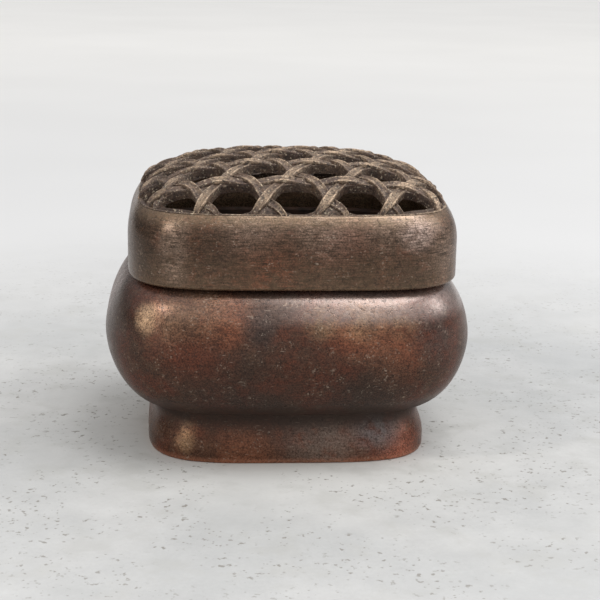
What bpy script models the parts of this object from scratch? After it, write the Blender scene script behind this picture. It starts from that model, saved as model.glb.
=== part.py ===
"""Incense burner with an openwork lid.

A rounded-square bronze bowl stands on a flared foot. A collar inside its mouth centres a lift-off lid,
whose domed top imitates a three-way cane weave, and carries a loose liner that holds ash, an ember and
slivers of incense wood.

Metres, +Z up, front towards -Y. The origin is on the surface that the foot stands on, under the bowl's
centre. Every level cross-section is a superellipse. "Half" is half its width along X; its half depth is
DEPTH_LESS smaller.
"""

import math

import bmesh
import bpy
import numpy as np
from mathutils import Euler, Matrix, Vector, geometry

# Driving dimensions
LID_HALF = 0.0400
DEPTH_LESS = 0.0025
FOOT_HALF = 0.0346
NECK_HALF = 0.0322
BELLY_HALF = 0.0451
SHOULDER_HALF = 0.0359
DOME_HALF = 0.0375
NECK_Z = 0.0118
BELLY_Z = 0.0285
SEAT_Z = 0.0437
BAND_STRAIGHT_Z = 0.0526
BAND_TOP_Z = 0.0608
DOME_TOP_Z = 0.0714

# How square each section is: 2 is an ellipse, and more is squarer
FOOT_POWER = 4.0
BELLY_POWER = 3.2
LID_POWER = 4.35

# Curves of the profiles, as the powers of superellipses
UNDER_BELLY_CURVE = 1.82
SHOULDER_CURVE = 1.72
DOME_CURVE = 1.93
BAND_SHOULDER_CURVE = 2.3

# Walls and fits
GAP = 0.0003
SHELL_WALL = 0.0024
FOOT_WALL = 0.0022
COLLAR_HALF = 0.0363
COLLAR_WALL = 0.0014
COLLAR_BOTTOM_Z = 0.0400
COLLAR_TOP_Z = 0.0495
LID_WALL = 0.0026
LEDGE_HALF = 0.0344
LID_PLAY = 0.0006
LINER_HALF = 0.0344
LINER_FLOOR_HALF = 0.0300
LINER_WALL = 0.0010
LINER_FLOOR_Z = 0.0195

# What the liner holds
ASH_TOP_Z = 0.0420
ASH_BERM = 0.0012
EMBER_RADIUS = 0.0100
EMBER_HEIGHT = 0.0070
EMBER_SUNK = 0.0030
CHIP_SIZE = (0.0090, 0.0034, 0.0016)
CHIP_PLACES = ((-0.017, -0.008, 25.0), (0.016, -0.011, -40.0), (0.006, 0.018, 80.0))

# The weave of the lid's top: arched openings in staggered rows
WEAVE_PITCH = 0.0147
WEAVE_SHIFT = -0.0005
WEAVE_ROWS = 6
WEAVE_THICK = 0.0030
WEAVE_RIM_HALF = 0.0370
OPENING_LIMIT_HALF = 0.0353
SMALLEST_OPENING = 12e-6
# Half an opening, from the middle of its sill to the middle of its arch: shares of the pitch and of a row
OPENING_SHAPE = ((0.24, 0.13), (0.40, 0.37), (0.35, 0.62), (0.22, 0.84), (0.08, 0.88))

AROUND = 48
RED_BRONZE = (0.115, 0.038, 0.020)
DARK_BRONZE = (0.075, 0.042, 0.024)
LINER_COPPER = (0.22, 0.10, 0.055)


def clear_scene():
    for thing in list(bpy.data.objects):
        bpy.data.objects.remove(thing, do_unlink=True)


def material(name, colour, roughness, metallic):
    made = bpy.data.materials.new(name)
    made.use_nodes = True
    shader = made.node_tree.nodes["Principled BSDF"]
    shader.inputs["Base Color"].default_value = (*colour, 1.0)
    shader.inputs["Roughness"].default_value = roughness
    shader.inputs["Metallic"].default_value = metallic
    return made


def finished(name, mesh_maker, looks, parent=None):
    """The named object made from a bmesh, smooth where it is rounded, with its material and parent empty."""
    bmesh.ops.recalc_face_normals(mesh_maker, faces=mesh_maker.faces)
    mesh = bpy.data.meshes.new(name)
    mesh_maker.to_mesh(mesh)
    mesh_maker.free()
    mesh.shade_smooth()
    mesh.set_sharp_from_angle(angle=math.radians(35))
    mesh.materials.append(looks)
    thing = bpy.data.objects.new(name, mesh)
    bpy.context.collection.objects.link(thing)
    if parent:
        thing.parent = parent
        thing.matrix_parent_inverse = Matrix.Translation(-parent.location)
    return thing


def lift_axis(name):
    """An empty on the upright line that a loose piece lifts along."""
    axis = bpy.data.objects.new(name, None)
    axis.location = (0.0, 0.0, SEAT_Z)
    bpy.context.collection.objects.link(axis)
    return axis


def section(half, power, z, middle_x=0.0):
    """The points of one level cross-section, counted round from +X."""
    depth = half - DEPTH_LESS
    points = []
    for step in range(AROUND):
        turn = 2.0 * math.pi * step / AROUND
        cosine = math.cos(turn)
        sine = math.sin(turn)
        x = middle_x + half * math.copysign(abs(cosine) ** (2.0 / power), cosine)
        y = depth * math.copysign(abs(sine) ** (2.0 / power), sine)
        points.append(Vector((x, y, z)))
    return points


def skinned(sections, ring=False):
    """A closed bmesh through the sections: capped at both ends, or a ring that closes on its first one."""
    made = bmesh.new()
    loops = [[made.verts.new(point) for point in points] for points in sections]
    pairs = list(zip(loops, loops[1:]))
    if ring:
        pairs.append((loops[-1], loops[0]))
    else:
        made.faces.new(loops[0])
        made.faces.new(loops[-1])
    for lower, upper in pairs:
        for here in range(AROUND):
            there = (here + 1) % AROUND
            made.faces.new((lower[here], lower[there], upper[there], upper[here]))
    return made


def inset(profile, wall):
    """A profile of (half, z) points moved a wall's thickness to its left, seen along its direction."""
    moved = []
    for place, (half, z) in enumerate(profile):
        before = profile[max(place - 1, 0)]
        after = profile[min(place + 1, len(profile) - 1)]
        run = after[0] - before[0]
        rise = after[1] - before[1]
        length = math.hypot(run, rise)
        moved.append((half - wall * rise / length, z + wall * run / length))
    return moved


def belly_profile():
    """(half, z) up the outside of the bowl, from the neck to the bore that holds the collar."""
    bore = COLLAR_HALF + GAP
    points = []
    for step in range(8):
        turn = math.pi / 2.0 * (1.0 - step / 8)
        half = NECK_HALF + (BELLY_HALF - NECK_HALF) * math.cos(turn) ** (2.0 / UNDER_BELLY_CURVE)
        z = BELLY_Z - (BELLY_Z - NECK_Z) * math.sin(turn) ** (2.0 / UNDER_BELLY_CURVE)
        points.append((half, z))
    mouth_share = (bore + GAP - SHOULDER_HALF) / (BELLY_HALF - SHOULDER_HALF)
    last_turn = math.acos(mouth_share ** (SHOULDER_CURVE / 2.0))
    for step in range(8):
        turn = last_turn * step / 7
        half = SHOULDER_HALF + (BELLY_HALF - SHOULDER_HALF) * math.cos(turn) ** (2.0 / SHOULDER_CURVE)
        z = BELLY_Z + (SEAT_Z - BELLY_Z) * math.sin(turn) ** (2.0 / SHOULDER_CURVE)
        points.append((half, z))
    return points


def bowl_power(z):
    """How square the bowl is at a height: roundest at the belly, squarer towards the foot and the lid."""
    if z < BELLY_Z:
        share = min(1.0, (BELLY_Z - z) / (BELLY_Z - NECK_Z))
        return BELLY_POWER + (FOOT_POWER - BELLY_POWER) * share**2
    share = min(1.0, (z - BELLY_Z) / (SEAT_Z - BELLY_Z))
    return BELLY_POWER + (LID_POWER - BELLY_POWER) * share**2


def make_body_shell(looks):
    outside = belly_profile()
    bore = COLLAR_HALF + GAP
    lowest_half = NECK_HALF - 0.0010
    inside = [(half, z) for half, z in inset(outside, SHELL_WALL) if z < SEAT_Z and half > lowest_half]
    inside = [(half, z) for half, z in inside if z < BELLY_Z or half > bore]
    rings = [section(half, bowl_power(z), z) for half, z in outside]
    rings += [section(bore, LID_POWER, z) for z in (outside[-1][1], inside[-1][1])]
    rings += [section(half, bowl_power(z), z) for half, z in inside[::-1]]
    return finished("body_shell", skinned(rings), looks)


def make_foot_ring(looks):
    top = NECK_Z - GAP
    outside = []
    for share in (0.0, 0.25, 0.4, 0.55, 0.7, 0.85, 1.0):
        ease = max(0.0, (share - 0.25) / 0.75)
        ease = ease * ease * (3.0 - 2.0 * ease)
        outside.append((FOOT_HALF - (FOOT_HALF - NECK_HALF) * ease, top * share))
    inside = [(half - FOOT_WALL, z) for half, z in outside]
    profile = outside + inside[::-1]
    rings = [section(half, FOOT_POWER, z) for half, z in profile]
    return finished("foot_ring", skinned(rings, ring=True), looks)


def make_rim_collar(looks):
    inner = COLLAR_HALF - COLLAR_WALL
    profile = [
        (COLLAR_HALF, COLLAR_BOTTOM_Z),
        (COLLAR_HALF, COLLAR_TOP_Z),
        (inner, COLLAR_TOP_Z),
        (inner, COLLAR_BOTTOM_Z),
    ]
    rings = [section(half, LID_POWER, z) for half, z in profile]
    return finished("rim_collar", skinned(rings, ring=True), looks)


def make_lid_band(looks, lift):
    inner = LID_HALF - LID_WALL
    rounding = 0.0010
    profile = [
        (inner, SEAT_Z),
        (LID_HALF - rounding, SEAT_Z),
        (LID_HALF - 0.3 * rounding, SEAT_Z + 0.3 * rounding),
        (LID_HALF, SEAT_Z + rounding),
    ]
    for step in range(7):
        share = step / 6
        drop = (LID_HALF - DOME_HALF) * share**BAND_SHOULDER_CURVE
        profile.append((LID_HALF - drop, BAND_STRAIGHT_Z + (BAND_TOP_Z - BAND_STRAIGHT_Z) * share))
    profile += [
        (LEDGE_HALF, BAND_TOP_Z),
        (LEDGE_HALF, BAND_TOP_Z - 0.0014),
        (inner - 0.0012, BAND_TOP_Z - 0.0040),
        (inner, BAND_STRAIGHT_Z),
    ]
    rings = [section(half, LID_POWER, z, LID_PLAY) for half, z in profile]
    return finished("lid_band", skinned(rings, ring=True), looks, lift)


def dome_profile():
    """Arrays of the distance out, the height and the length of the curve from its top, along the dome."""
    turn = np.linspace(math.pi / 2.0, 0.0, 200)
    out = DOME_HALF * np.cos(turn) ** (2.0 / DOME_CURVE)
    out[0] = 0.0
    z = BAND_TOP_Z + (DOME_TOP_Z - BAND_TOP_Z) * np.sin(turn) ** (2.0 / DOME_CURVE)
    along = np.concatenate([[0.0], np.cumsum(np.hypot(np.diff(out), np.diff(z)))])
    return out, z, along


def dome_level(x, y):
    """The half width of the section through a point of the dome, seen from above."""
    deep = y * DOME_HALF / (DOME_HALF - DEPTH_LESS)
    return (abs(x) ** LID_POWER + abs(deep) ** LID_POWER) ** (1.0 / LID_POWER)


def dome_height(x, y):
    share = min(1.0, dome_level(x, y) / DOME_HALF)
    return BAND_TOP_Z + (DOME_TOP_Z - BAND_TOP_Z) * (1.0 - share**DOME_CURVE) ** (1.0 / DOME_CURVE)


def weave_openings():
    """The outlines of the lid's openings, seen from above: arches, every second row half a pitch over."""
    out, _, along = dome_profile()
    deep_share = (DOME_HALF - DEPTH_LESS) / DOME_HALF
    row = 2.0 * along[-1] * deep_share / WEAVE_ROWS
    right = [(wide * WEAVE_PITCH, tall * row) for wide, tall in OPENING_SHAPE]
    shape = right + [(-wide, tall) for wide, tall in right[::-1]]

    def flat(distance, share=1.0):
        return math.copysign(share * float(np.interp(abs(distance) / share, along, out)), distance)

    outlines = []
    for row_number in range(WEAVE_ROWS):
        stagger = 0.5 * (row_number % 2)
        for place in range(-3, 4):
            outline = []
            for wide, tall in shape:
                x = flat(WEAVE_SHIFT + (place + stagger) * WEAVE_PITCH + wide)
                y = flat((row_number - WEAVE_ROWS / 2) * row + tall, deep_share)
                outside_by = max(1.0, dome_level(x, y) / OPENING_LIMIT_HALF)
                outline.append((x / outside_by, y / outside_by))
            if polygon_area(outline) > SMALLEST_OPENING:
                outlines.append(outline)
    return outlines


def polygon_area(outline):
    turned = outline[1:] + outline[:1]
    return 0.5 * sum(a[0] * b[1] - b[0] * a[1] for a, b in zip(outline, turned))


def inside_polygon(x, y, outline):
    crossings = False
    for (ax, ay), (bx, by) in zip(outline, outline[1:] + outline[:1]):
        if (ay > y) != (by > y) and x < ax + (y - ay) * (bx - ax) / (by - ay):
            crossings = not crossings
    return crossings


def make_lid_lattice(looks, lift):
    """A domed sheet with its openings cut out: flat triangles raised to the dome, and again a wall below."""
    rim = [(point.x, point.y) for point in section(WEAVE_RIM_HALF, LID_POWER, 0.0)]
    openings = weave_openings()
    corners = []
    edges = []
    for outline in [rim] + openings:
        first = len(corners)
        corners += [Vector(point) for point in outline]
        edges += [(first + i, first + (i + 1) % len(outline)) for i in range(len(outline))]
    flat_points, _, triangles, _, _, _ = geometry.delaunay_2d_cdt(corners, edges, [], 1, 1e-7)
    made = bmesh.new()
    upper = []
    lower = []
    for point in flat_points:
        top = dome_height(point.x, point.y)
        bottom = max(BAND_TOP_Z + GAP, top - WEAVE_THICK)
        upper.append(made.verts.new((point.x + LID_PLAY, point.y, top)))
        lower.append(made.verts.new((point.x + LID_PLAY, point.y, bottom)))
    sides = {}
    for triangle in triangles:
        middle = sum((flat_points[corner] for corner in triangle), Vector((0.0, 0.0))) / 3.0
        if any(inside_polygon(middle.x, middle.y, outline) for outline in openings):
            continue
        made.faces.new([upper[corner] for corner in triangle])
        made.faces.new([lower[corner] for corner in reversed(triangle)])
        for here, there in zip(triangle, triangle[1:] + triangle[:1]):
            if sides.pop((there, here), None) is None:
                sides[(here, there)] = True
    for here, there in sides:
        made.faces.new((upper[there], upper[here], lower[here], lower[there]))
    return finished("lid_lattice", made, looks, lift)


def make_ash_liner(looks, lift):
    """A thin tapered pan whose rim turns out over the collar."""
    rim_z = COLLAR_TOP_Z + GAP
    rim_half = COLLAR_HALF - GAP
    profile = [
        (LINER_FLOOR_HALF - 0.0030, LINER_FLOOR_Z),
        (LINER_FLOOR_HALF, LINER_FLOOR_Z + 0.0030),
        (LINER_HALF - 0.0003, rim_z - 0.0090),
        (LINER_HALF, rim_z),
        (rim_half, rim_z),
        (rim_half, rim_z + LINER_WALL),
        (LINER_HALF - LINER_WALL, rim_z + LINER_WALL),
        (LINER_HALF - LINER_WALL - 0.0003, rim_z - 0.0090),
        (LINER_FLOOR_HALF - LINER_WALL, LINER_FLOOR_Z + 0.0034),
        (LINER_FLOOR_HALF - 0.0034, LINER_FLOOR_Z + LINER_WALL),
    ]
    rings = [section(half, FOOT_POWER, z) for half, z in profile]
    return finished("ash_liner", skinned(rings), looks, lift)


def liner_inside(z):
    """Half the width inside the liner at a height, less the gap."""
    low = LINER_FLOOR_Z + 0.0034
    high = COLLAR_TOP_Z + GAP - 0.0090
    share = (z - low) / (high - low)
    low_half = LINER_FLOOR_HALF - LINER_WALL
    high_half = LINER_HALF - LINER_WALL - 0.0003
    return low_half + (high_half - low_half) * min(share, 1.0) - GAP


def make_ash_bed(looks, lift):
    """The ash: raised a little against the liner's wall, with a round hollow that the ember sits in."""
    low = LINER_FLOOR_Z + 0.0036
    berm_z = ASH_TOP_Z + ASH_BERM
    power = FOOT_POWER
    rings = [
        section(liner_inside(low) - 0.0026, power, LINER_FLOOR_Z + LINER_WALL + GAP),
        section(liner_inside(low), power, low),
        section(liner_inside(berm_z), power, berm_z),
        section(liner_inside(berm_z) - 0.0030, power, ASH_TOP_Z),
    ]
    hollow = EMBER_RADIUS + GAP
    for radius, z in ((hollow + 0.0015, ASH_TOP_Z), (hollow, ASH_TOP_Z - EMBER_SUNK - GAP)):
        turns = [2.0 * math.pi * step / AROUND for step in range(AROUND)]
        rings.append([Vector((radius * math.cos(turn), radius * math.sin(turn), z)) for turn in turns])
    return finished("ash_bed", skinned(rings), looks, lift)


def make_charcoal_tablet(looks, lift):
    made = bmesh.new()
    middle = Matrix.Translation((0.0, 0.0, ASH_TOP_Z - EMBER_SUNK + EMBER_HEIGHT / 2.0))
    size = {"radius1": EMBER_RADIUS, "radius2": EMBER_RADIUS, "depth": EMBER_HEIGHT}
    bmesh.ops.create_cone(made, cap_ends=True, segments=32, matrix=middle, **size)
    tablet = finished("charcoal_tablet", made, looks, lift)
    bevel = tablet.modifiers.new("edges", "BEVEL")
    bevel.width = 0.0008
    bevel.segments = 2
    bevel.limit_method = "ANGLE"
    return tablet


def make_incense_chip(number, place, looks, lift):
    x, y, degrees = place
    made = bmesh.new()
    bmesh.ops.create_cube(made, size=1.0)
    bmesh.ops.scale(made, vec=CHIP_SIZE, verts=made.verts)
    turned = Euler((0.0, 0.0, math.radians(degrees))).to_matrix().to_4x4()
    standing = Matrix.Translation((x, y, ASH_TOP_Z + GAP + CHIP_SIZE[2] / 2.0))
    bmesh.ops.transform(made, matrix=standing @ turned, verts=made.verts)
    return finished(f"incense_chip_{number}", made, looks, lift)


def build():
    clear_scene()
    red_bronze = material("red_bronze", RED_BRONZE, 0.42, 0.9)
    dark_bronze = material("dark_bronze", DARK_BRONZE, 0.5, 0.9)
    copper = material("liner_copper", LINER_COPPER, 0.45, 1.0)
    ash = material("ash", (0.48, 0.46, 0.43), 0.95, 0.0)
    charcoal = material("charcoal", (0.03, 0.03, 0.03), 0.9, 0.0)
    incense_wood = material("incense_wood", (0.13, 0.065, 0.03), 0.7, 0.0)
    lid_lift = lift_axis("lid_lift_axis")
    liner_lift = lift_axis("liner_lift_axis")
    make_body_shell(red_bronze)
    make_foot_ring(red_bronze)
    make_rim_collar(dark_bronze)
    make_lid_band(dark_bronze, lid_lift)
    make_lid_lattice(dark_bronze, lid_lift)
    make_ash_liner(copper, liner_lift)
    make_ash_bed(ash, liner_lift)
    make_charcoal_tablet(charcoal, liner_lift)
    for number, place in enumerate(CHIP_PLACES, start=1):
        make_incense_chip(number, place, incense_wood, liner_lift)


build()
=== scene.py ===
"""The looks of an incense burner with an openwork lid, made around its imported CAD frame.

Metres, +Z up, front towards -Y, in the frame's own coordinates. Level sections are superellipses: "half" is
half their width along X, and their half depth is a fixed amount smaller. The shells are fine meshes on the
CAD's own dimensions, and the lid's top is woven from swept strands that are joined into one casting.
"""

from math import acos, ceil, copysign, cos, hypot, pi, radians, sin

import bmesh
import bpy
import numpy as np
from mathutils import Matrix, Vector, geometry, noise


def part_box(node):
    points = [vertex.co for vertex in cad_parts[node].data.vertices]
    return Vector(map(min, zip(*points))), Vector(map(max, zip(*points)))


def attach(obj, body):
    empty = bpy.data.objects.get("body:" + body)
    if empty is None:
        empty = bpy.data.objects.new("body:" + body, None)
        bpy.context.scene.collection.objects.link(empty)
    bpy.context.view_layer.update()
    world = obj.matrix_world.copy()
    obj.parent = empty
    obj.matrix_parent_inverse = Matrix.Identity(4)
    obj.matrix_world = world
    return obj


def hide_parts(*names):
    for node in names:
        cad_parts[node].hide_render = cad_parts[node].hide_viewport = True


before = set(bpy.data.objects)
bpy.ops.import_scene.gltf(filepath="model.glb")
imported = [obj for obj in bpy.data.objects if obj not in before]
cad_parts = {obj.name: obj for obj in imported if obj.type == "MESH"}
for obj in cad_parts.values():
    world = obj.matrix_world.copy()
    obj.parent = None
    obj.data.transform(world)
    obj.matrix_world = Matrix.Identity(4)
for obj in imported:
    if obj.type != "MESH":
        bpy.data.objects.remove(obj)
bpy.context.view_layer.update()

# Dimensions that the frame gives
BAND_LOW, BAND_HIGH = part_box("lid_band")
BODY_LOW, BODY_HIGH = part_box("body_shell")
COLLAR_LOW, COLLAR_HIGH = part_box("rim_collar")
LINER_LOW, LINER_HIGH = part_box("ash_liner")
ASH_LOW, ASH_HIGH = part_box("ash_bed")
EMBER_LOW, EMBER_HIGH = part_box("charcoal_tablet")
LID_MIDDLE_X = (BAND_LOW.x + BAND_HIGH.x) / 2.0
LID_HALF = (BAND_HIGH.x - BAND_LOW.x) / 2.0
DEPTH_LESS = LID_HALF - BAND_HIGH.y
SEAT_Z = BAND_LOW.z
BAND_TOP_Z = BAND_HIGH.z
DOME_TOP_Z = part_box("lid_lattice")[1].z
BELLY_HALF = BODY_HIGH.x
NECK_Z = BODY_LOW.z
FOOT_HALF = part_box("foot_ring")[1].x
COLLAR_HALF = COLLAR_HIGH.x

# Dimensions of the profiles between those
NECK_HALF = 0.0322
BELLY_Z = 0.0285
SHOULDER_HALF = 0.0359
BAND_STRAIGHT_Z = 0.0526
DOME_HALF = 0.0375
SHELL_WALL = 0.0024
FOOT_WALL = 0.0022
COLLAR_WALL = 0.0014
LID_WALL = 0.0026
GAP = 0.0003

# How square each section is (2 is an ellipse), and the curves of the profiles
FOOT_POWER = 4.0
BELLY_POWER = 3.2
LID_POWER = 4.35
UNDER_BELLY_CURVE = 1.82
SHOULDER_CURVE = 1.72
BAND_SHOULDER_CURVE = 2.3
DOME_CURVE = 1.93

# The three-way weave. Along the dome, u runs to the right from its middle, and s back from its front edge
PITCH = 0.0147
ROWS = 6
WEAVE_SHIFT = -0.0005
CROSSING_RISE = 0.0048
LEVEL_RISE = 0.0002
LEVEL_WAVE = 0.0005
RIGHT_CURVE = 1.4
LEFT_CURVE = 1.1
STRAND_HALF = 0.0012
RIM_TAPER = 0.6
LEVEL_HALF = 0.0013
STRAND_LIFT = 0.00042
STRAND_DEPTH = 0.0031
WEB_SUNK = 0.0011
WEB_DEPTH = 0.0031
SILL_HEIGHT = 0.0004
CORNER_SILL_HEIGHT = 0.0015
OPENING_SHARE = 0.86
FRONT_DROP = 0.0018
SMALLEST_OPENING = 9e-6
WEB_GRID = 0.0016

# The slivers of incense wood, as the CAD lays them
CHIP_SIZE = (0.009, 0.0034, 0.0016)
CHIP_TURNS = (25.0, -40.0, 80.0)

# The camera: its place, its lens in millimetres, and the degrees that it is turned, tipped down and rolled
CAMERA_PLACE = (-0.0275, -0.3716, 0.1235)
CAMERA_LENS = 90.0
CAMERA_TURN = 4.84
CAMERA_TIP = 13.7
CAMERA_ROLL = 1.16

# The lamps: name, place, width, height, power and colour
LAMPS = (
    ("overhead_softbox", (0.36, -0.2, 1.0), 0.62, 0.6, 6.2, (1.0, 1.0, 1.0)),
    ("right_window", (1.1, 0.0, 0.6), 0.5, 0.5, 2.9, (1.0, 1.0, 1.0)),
    ("left_spot", (-0.8, -0.42, 0.66), 0.12, 0.18, 2.4, (1.0, 0.92, 0.82)),
    ("left_strip", (-0.85, -0.45, 0.16), 0.07, 0.3, 0.4, (1.0, 0.95, 0.88)),
)
LAMPS_AIM = (0.0, 0.0, 0.035)

# The room's brightness: an axis, where the change along it starts, and the strengths at its start and its end
ROOM = (("X", -1.0, 0.02, 0.36), ("Y", -1.0, 0.45, 0.04), ("Z", 0.0, 0.0, 0.72))
ROOM_COLOUR = (0.96, 0.975, 1.0)

# The bronze: how metallic it is and how much more where bared, its wax and how much more where handled, how
# strongly it reflects, and the tint of a reflection at a grazing angle
METAL = 0.5
BARED_METAL = 0.15
WAX = 0.06
HANDLED_WAX = 0.8
WAX_ROUGHNESS = 0.24
SHINE = 0.26
EDGE_TINT = (0.6, 0.52, 0.48)

# Points round each level section of the shells, and round the weave's edge
AROUND = 224
WEAVE_AROUND = 160


def section(half, power, z, middle_x=0.0, around=AROUND):
    """The points of one level cross-section, at even turns from +X."""
    points = []
    for step in range(around):
        turn = 2.0 * pi * step / around
        cosine = cos(turn)
        sine = sin(turn)
        reach = (abs(cosine) ** power + abs(sine) ** power) ** (-1.0 / power)
        points.append(Vector((middle_x + half * reach * cosine, (half - DEPTH_LESS) * reach * sine, z)))
    return points


def circle(radius, z, around=AROUND):
    turns = [2.0 * pi * step / around for step in range(around)]
    return [Vector((radius * cos(turn), radius * sin(turn), z)) for turn in turns]


def skinned(rings, closed=False):
    """A bmesh through rings of points: capped at both ends, or closed from its last ring to its first."""
    made = bmesh.new()
    loops = [[made.verts.new(point) for point in points] for points in rings]
    pairs = list(zip(loops, loops[1:]))
    if closed:
        pairs.append((loops[-1], loops[0]))
    else:
        made.faces.new(loops[0])
        made.faces.new(loops[-1])
    for lower, upper in pairs:
        for here in range(len(lower)):
            there = (here + 1) % len(lower)
            made.faces.new((lower[here], lower[there], upper[there], upper[here]))
    bmesh.ops.recalc_face_normals(made, faces=made.faces)
    return made


def linked(name, data):
    thing = bpy.data.objects.new(name, data)
    bpy.context.collection.objects.link(thing)
    return thing


def as_object(name, made):
    """An object from a bmesh, shaded smooth apart from its sharp edges."""
    mesh = bpy.data.meshes.new(name)
    made.to_mesh(mesh)
    made.free()
    mesh.shade_smooth()
    mesh.set_sharp_from_angle(angle=radians(35.0))
    return linked(name, mesh)


def skinned_profile(name, profile, power, middle_x=0.0, closed=True):
    """An object through the level sections of a profile's (half, z) points."""
    rings = [section(half, power, z, middle_x) for half, z in profile]
    return as_object(name, skinned(rings, closed))


def placed(thing, looks, body, node):
    """Gives a finished piece its material and body, and hides its CAD node."""
    thing.data.materials.clear()
    thing.data.materials.append(looks)
    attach(thing, body)
    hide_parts(node)


def mark(thing, name, rule):
    """Stores rule(point), from 0 to 1, on every vertex, for the material to read."""
    values = [min(1.0, max(0.0, rule(vertex.co))) for vertex in thing.data.vertices]
    layer = thing.data.attributes.new(name, "FLOAT", "POINT")
    layer.data.foreach_set("value", np.array(values, np.float32))


def smooth_step(low, high, value):
    share = min(1.0, max(0.0, (value - low) / (high - low)))
    return share * share * (3.0 - 2.0 * share)


def inset(profile, wall):
    """A profile of (half, z) points moved a wall's thickness to its left, seen along its direction."""
    moved = []
    for place, (half, z) in enumerate(profile):
        before = profile[max(place - 1, 0)]
        after = profile[min(place + 1, len(profile) - 1)]
        run = after[0] - before[0]
        rise = after[1] - before[1]
        length = hypot(run, rise)
        moved.append((half - wall * rise / length, z + wall * run / length))
    return moved


class Nodes:
    """A node tree, with short calls for the nodes that are added to it."""

    def __init__(self, tree):
        self.tree = tree

    def add(self, kind, inputs, **settings):
        """A new node with these settings, and with what its inputs are linked or set to."""
        node = self.tree.nodes.new(kind)
        for name, value in settings.items():
            setattr(node, name, value)
        for name, value in inputs.items():
            self.feed(node.inputs[name], value)
        return node

    def feed(self, socket, value):
        """Links an output to a socket, or sets the socket's own value."""
        if isinstance(value, bpy.types.NodeSocket):
            self.tree.links.new(value, socket)
        elif socket.type == "RGBA":
            socket.default_value = (*value, 1.0)
        else:
            socket.default_value = value

    def math(self, operation, first, second):
        return self.add("ShaderNodeMath", {0: first, 1: second}, operation=operation).outputs[0]

    def times(self, first, second):
        return self.math("MULTIPLY", first, second)

    def plus(self, first, second):
        return self.math("ADD", first, second)

    def less(self, first, second):
        return self.math("SUBTRACT", first, second)

    def most(self, first, second):
        return self.math("MAXIMUM", first, second)

    def ranged(self, value, low, high, to_low, to_high, kind="SMOOTHSTEP"):
        """A value's range from low to high moved to another one. A smooth step stays inside it."""
        inputs = {"Value": value, "From Min": low, "From Max": high, "To Min": to_low, "To Max": to_high}
        node = self.add("ShaderNodeMapRange", inputs, interpolation_type=kind, clamp=kind != "LINEAR")
        return node.outputs["Result"]


# ---- Camera and light ----


def make_camera():
    """A long lens, a little left of the middle and above the lid, tipped down and rolled slightly."""
    lens = bpy.data.cameras.new("camera")
    lens.lens = CAMERA_LENS
    lens.sensor_width = 36.0
    camera = linked("camera", lens)
    place = Matrix.Translation(CAMERA_PLACE)
    turn = Matrix.Rotation(-radians(CAMERA_TURN), 4, "Z")
    tip = Matrix.Rotation(pi / 2.0 - radians(CAMERA_TIP), 4, "X")
    roll = Matrix.Rotation(radians(CAMERA_ROLL), 4, "Z")
    camera.matrix_world = place @ turn @ tip @ roll
    bpy.context.scene.camera = camera


def make_lamp(name, place, width, height, power, colour):
    """A rectangular area light that faces the object."""
    lamp = bpy.data.lights.new(name, "AREA")
    lamp.shape = "RECTANGLE"
    lamp.size = width
    lamp.size_y = height
    lamp.energy = power
    lamp.color = colour
    light = linked(name, lamp)
    light.location = place
    towards = Vector(LAMPS_AIM) - Vector(place)
    light.rotation_euler = towards.to_track_quat("-Z", "Y").to_euler()


def make_room():
    """A plain room whose brightness changes smoothly from side to side, front to back and up."""
    world = bpy.data.worlds.new("studio")
    world.use_nodes = True
    nodes = Nodes(world.node_tree)
    coordinates = nodes.add("ShaderNodeTexCoord", {})
    direction = nodes.add("ShaderNodeSeparateXYZ", {0: coordinates.outputs["Generated"]})
    strength = 0.0
    for axis, start, low, high in ROOM:
        level = nodes.ranged(direction.outputs[axis], start, 1.0, low, high)
        strength = nodes.plus(strength, level)
    background = world.node_tree.nodes["Background"]
    nodes.feed(background.inputs["Color"], ROOM_COLOUR)
    nodes.feed(background.inputs["Strength"], strength)
    bpy.context.scene.world = world


def make_lights():
    for lamp in LAMPS:
        make_lamp(*lamp)
    make_room()
    bpy.context.scene.view_settings.view_transform = "Standard"


# ---- Materials ----


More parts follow.
